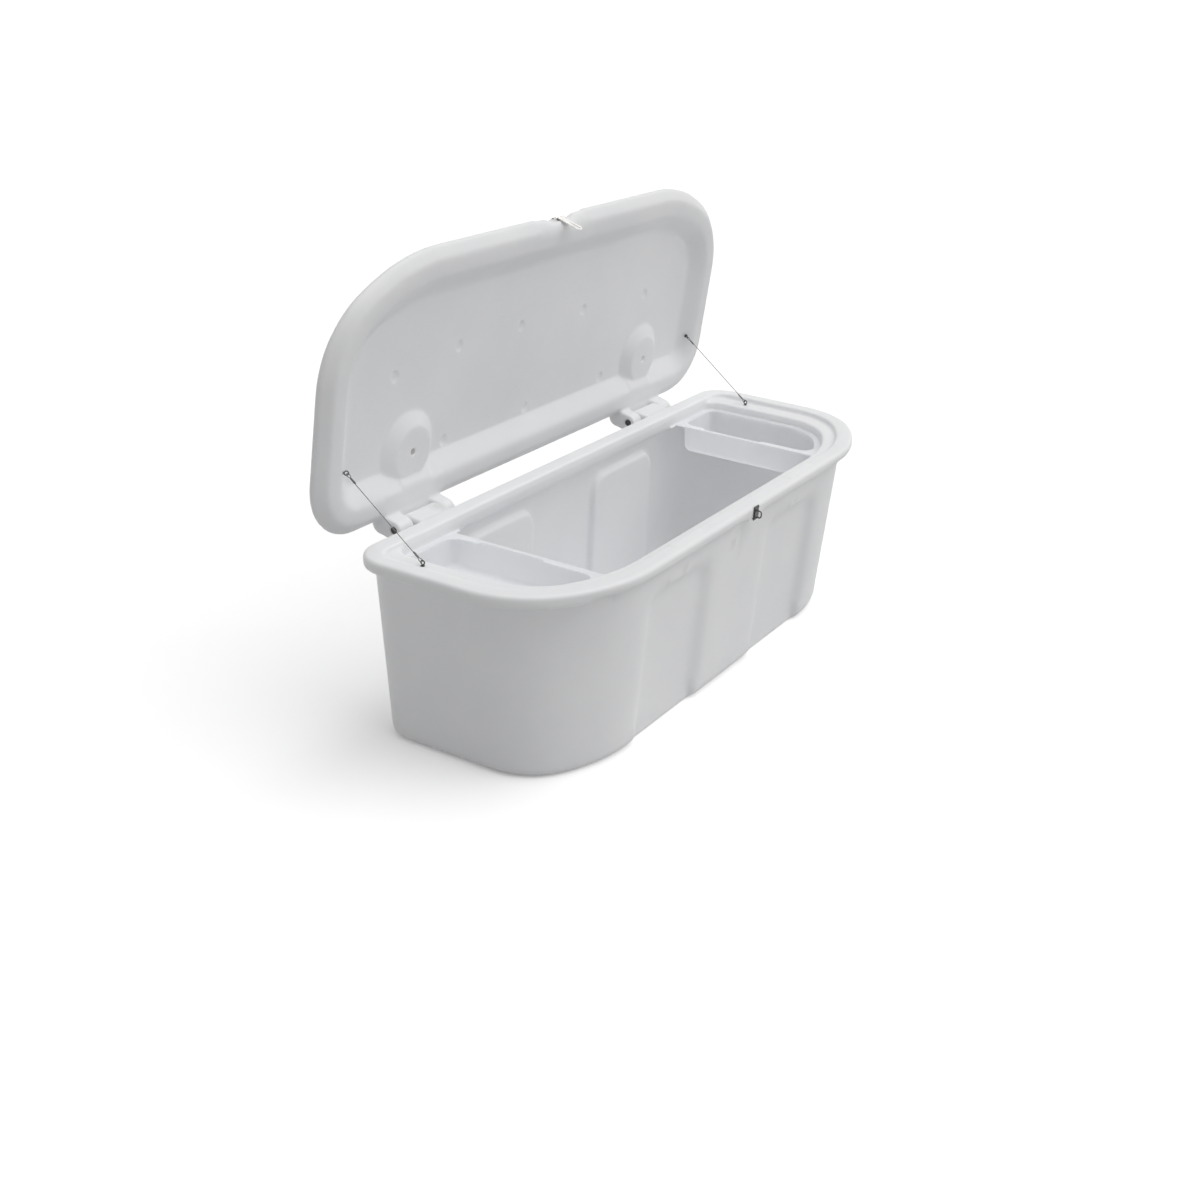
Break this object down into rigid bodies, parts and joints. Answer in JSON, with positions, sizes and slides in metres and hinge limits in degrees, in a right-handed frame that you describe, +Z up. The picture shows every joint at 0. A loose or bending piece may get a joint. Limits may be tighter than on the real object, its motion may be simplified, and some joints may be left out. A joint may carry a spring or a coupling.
{
  "type": "dock box",
  "caption": "Moulded white dock storage box with a hinged lid held open by wire stays, a swivel hasp and lift-out end trays.",
  "frame": {"origin": "middle of the tub's flat base, on the ground", "axes": "+X along the box, -Y towards the hasp side, +Y towards the hinges, +Z up"},
  "size_m": [1.798, 0.7205, 1.1368],
  "materials": {
    "white_polyethylene": "satin rotomoulded skin",
    "tray_polyethylene": "satin, slightly translucent",
    "stainless_steel": "polished stamping",
    "wire_rope": "stranded wire",
    "ferrule_metal": "dull crimped sleeve",
    "black_plastic": "plain"
  },
  "bodies": {
    "tub": {"tub": "white_polyethylene", "staple_plate": "stainless_steel", "staple_screws": "stainless_steel", "stay_eye_tub_left": "stainless_steel", "stay_eye_tub_right": "stainless_steel", "stay_wire_left": "wire_rope", "stay_wire_right": "wire_rope", "stay_ferrule_tub_left": "ferrule_metal", "stay_ferrule_tub_right": "ferrule_metal"},
    "lid": {"lid": "white_polyethylene", "hinge_pin_left": "stainless_steel", "hinge_pin_right": "stainless_steel", "pin_caps_left": "black_plastic", "pin_caps_right": "black_plastic", "hasp_base": "stainless_steel", "hasp_pin": "stainless_steel", "hasp_screws": "stainless_steel", "stay_eye_lid_left": "stainless_steel", "stay_eye_lid_right": "stainless_steel", "stay_ferrule_lid_left": "ferrule_metal", "stay_ferrule_lid_right": "ferrule_metal"},
    "hasp_leaf": {"hasp_leaf": "stainless_steel"},
    "staple_eye": {"staple_eye": "stainless_steel"},
    "tray_left": {"tray_left": "tray_polyethylene"},
    "tray_right": {"tray_right": "tray_polyethylene"}
  },
  "joints": [
    {"name": "lid_hinge", "type": "hinge", "parent": "tub", "child": "lid", "pos_m": [0, 0.316, 0.474], "axis": [-1, 0, 0], "range_deg": [-83.6, 0], "deforming": ["stay_wire_left", "stay_wire_right", "stay_ferrule_tub_left", "stay_ferrule_tub_right", "stay_ferrule_lid_left", "stay_ferrule_lid_right"]},
    {"name": "hasp_swing", "type": "hinge", "parent": "lid", "child": "hasp_leaf", "pos_m": [0, 0.29588, 1.12884], "axis": [-1, 0, 0], "range_deg": [0, 165]},
    {"name": "staple_turn", "type": "hinge", "parent": "tub", "child": "staple_eye", "pos_m": [0, -0.322, 0.475], "axis": [0, -1, 0], "range_deg": [0, 90]},
    {"name": "tray_left_lift", "type": "slide", "parent": "tub", "child": "tray_left", "axis": [0, 0, 1], "range_m": [0, 0.2]},
    {"name": "tray_right_lift", "type": "slide", "parent": "tub", "child": "tray_right", "axis": [0, 0, 1], "range_m": [0, 0.2]}
  ]
}
